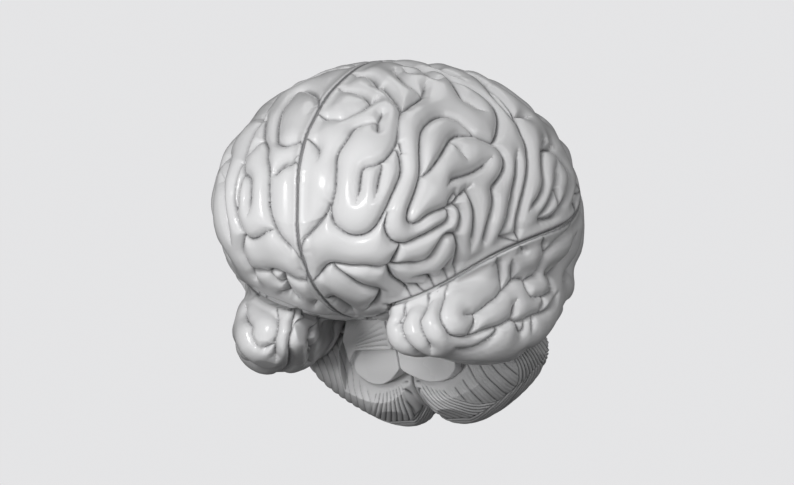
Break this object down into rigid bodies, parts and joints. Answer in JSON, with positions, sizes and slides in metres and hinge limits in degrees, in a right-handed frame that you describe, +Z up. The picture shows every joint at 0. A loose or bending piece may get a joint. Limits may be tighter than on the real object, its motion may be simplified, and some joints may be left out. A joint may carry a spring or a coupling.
{
  "type": "brain anatomy model",
  "caption": "Life-size dissectible model of the human brain: cerebral lobes, brainstem and cerebellum that pull apart on steel pins and magnets, resting on its own underside.",
  "frame": {"origin": "centre of the model's bounding box on the surface it rests on", "axes": "+Z up, +Y towards the back of the head, +X the brain's own left; the anatomical vertical leans 10 degrees forward of +Z, as the model rests"},
  "size_m": [0.148, 0.1805, 0.1408],
  "materials": {
    "cortex_plastic": "moulded, semi-gloss",
    "brainstem_plastic": "moulded, semi-gloss",
    "cerebellum_plastic": "moulded, semi-gloss",
    "steel_pin": "turned",
    "plated_magnet": "nickel plated"
  },
  "bodies": {
    "right_half": {"right_frontoparietal_lobe": "cortex_plastic", "midline_pin_front": "steel_pin", "midline_pin_rear": "steel_pin", "right_temporal_pin_front": "steel_pin", "right_temporal_pin_rear": "steel_pin", "right_brainstem_pin": "steel_pin", "right_midline_magnet_front": "plated_magnet", "right_midline_magnet_rear": "plated_magnet", "right_core_magnet": "plated_magnet"},
    "left_half": {"left_frontoparietal_lobe": "cortex_plastic", "left_temporal_pin_front": "steel_pin", "left_temporal_pin_rear": "steel_pin", "left_brainstem_pin": "steel_pin", "left_midline_magnet_front": "plated_magnet", "left_midline_magnet_rear": "plated_magnet", "left_core_magnet": "plated_magnet"},
    "right_temporal": {"right_temporo_occipital_lobe": "cortex_plastic", "right_temporal_magnet": "plated_magnet"},
    "left_temporal": {"left_temporo_occipital_lobe": "cortex_plastic", "left_temporal_magnet": "plated_magnet"},
    "right_stem": {"right_brainstem_half": "brainstem_plastic", "right_cerebellum_pin": "steel_pin"},
    "left_stem": {"left_brainstem_half": "brainstem_plastic", "left_cerebellum_pin": "steel_pin"},
    "right_cerebellum": {"right_cerebellum_half": "cerebellum_plastic"},
    "left_cerebellum": {"left_cerebellum_half": "cerebellum_plastic"}
  },
  "joints": [
    {"name": "left_half_slide", "type": "slide", "parent": "right_half", "child": "left_half", "axis": [1, 0, 0], "range_m": [0, 0.01]},
    {"name": "right_temporal_slide", "type": "slide", "parent": "right_half", "child": "right_temporal", "axis": [-1, 0, 0], "range_m": [0, 0.008]},
    {"name": "left_temporal_slide", "type": "slide", "parent": "left_half", "child": "left_temporal", "axis": [1, 0, 0], "range_m": [0, 0.008]},
    {"name": "right_stem_slide", "type": "slide", "parent": "right_half", "child": "right_stem", "axis": [0, 0.1736, -0.9848], "range_m": [0, 0.008]},
    {"name": "left_stem_slide", "type": "slide", "parent": "left_half", "child": "left_stem", "axis": [0, 0.1736, -0.9848], "range_m": [0, 0.008]},
    {"name": "right_cerebellum_slide", "type": "slide", "parent": "right_stem", "child": "right_cerebellum", "axis": [0, 0.9848, 0.1736], "range_m": [0, 0.008]},
    {"name": "left_cerebellum_slide", "type": "slide", "parent": "left_stem", "child": "left_cerebellum", "axis": [0, 0.9848, 0.1736], "range_m": [0, 0.008]}
  ]
}
